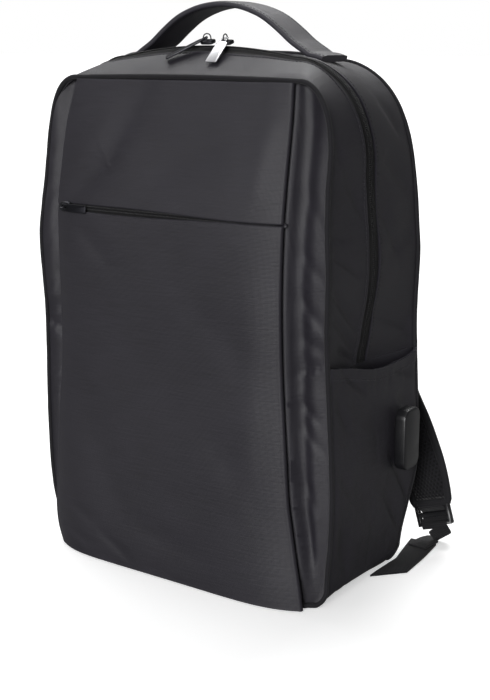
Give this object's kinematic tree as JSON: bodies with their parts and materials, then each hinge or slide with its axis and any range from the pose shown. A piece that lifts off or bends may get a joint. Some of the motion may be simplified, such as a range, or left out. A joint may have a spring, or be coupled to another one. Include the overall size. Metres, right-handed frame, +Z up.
{
  "type": "laptop backpack",
  "caption": "Upright rectangular cloth backpack with a wide front overlay panel, a curved main zip, a top carry handle, side pockets, a charging port and padded shoulder straps.",
  "frame": {"origin": "middle of the flat base, halfway between the planes of the front and rear piping", "axes": "+Z up the standing bag, +Y from its front to the wearer's back, +X to its right side seen from the front, where the charging port is"},
  "size_m": [0.3482, 0.2207, 0.4673],
  "materials": {
    "woven_polyester": "matte woven charcoal polyester",
    "padded_mesh": "black spacer mesh over foam",
    "binding": "ribbed black polyester tape and piping",
    "zip_tape": "black coil zip on woven tape",
    "steel": "plated zinc, smooth",
    "gunmetal": "dark painted zinc",
    "port_plastic": "moulded black plastic, fine grain",
    "socket_steel": "bright socket shell",
    "webbing": "black ribbed polyester webbing"
  },
  "bodies": {
    "bag": {"front_wall": "woven_polyester", "front_panel_lower": "woven_polyester", "front_panel_upper": "woven_polyester", "front_zip_tape": "zip_tape", "piping_front": "binding", "gusset_front": "woven_polyester", "gusset_rear": "woven_polyester", "gusset_lower": "woven_polyester", "zip_tape_main": "zip_tape", "piping_rear": "binding", "back_panel": "padded_mesh", "zip_slider_main_1": "steel", "zip_slider_main_2": "steel", "zip_slider_front": "steel", "handle": "woven_polyester", "side_pocket_right": "woven_polyester", "pocket_hem_right": "binding", "side_pocket_left": "woven_polyester", "pocket_hem_left": "binding", "usb_housing": "port_plastic", "usb_socket": "socket_steel", "strap_pad_right": "padded_mesh", "strap_buckle_right": "port_plastic", "strap_webbing_right": "webbing", "anchor_tab_right": "webbing", "strap_pad_left": "padded_mesh", "strap_buckle_left": "port_plastic", "strap_webbing_left": "webbing", "anchor_tab_left": "webbing"},
    "pull_main_1": {"zip_pull_main_1": "gunmetal"},
    "pull_main_2": {"zip_pull_main_2": "steel"},
    "pull_front": {"zip_pull_front": "gunmetal"}
  },
  "joints": [
    {"name": "pull_main_1_swing", "type": "hinge", "parent": "bag", "child": "pull_main_1", "pos_m": [0.001, -0.026, 0.43885], "axis": [-0.6261, 0.7498, 0.2141], "range_deg": [0, 100]},
    {"name": "pull_main_2_swing", "type": "hinge", "parent": "bag", "child": "pull_main_2", "pos_m": [0.019, -0.02595, 0.4384], "axis": [-0.9994, -0.0333, -0.0092], "range_deg": [0, 100]},
    {"name": "pull_front_swing", "type": "hinge", "parent": "bag", "child": "pull_front", "pos_m": [-0.09789, -0.0944, 0.303], "axis": [-0.0416, 0, -0.9991], "range_deg": [0, 150]}
  ]
}
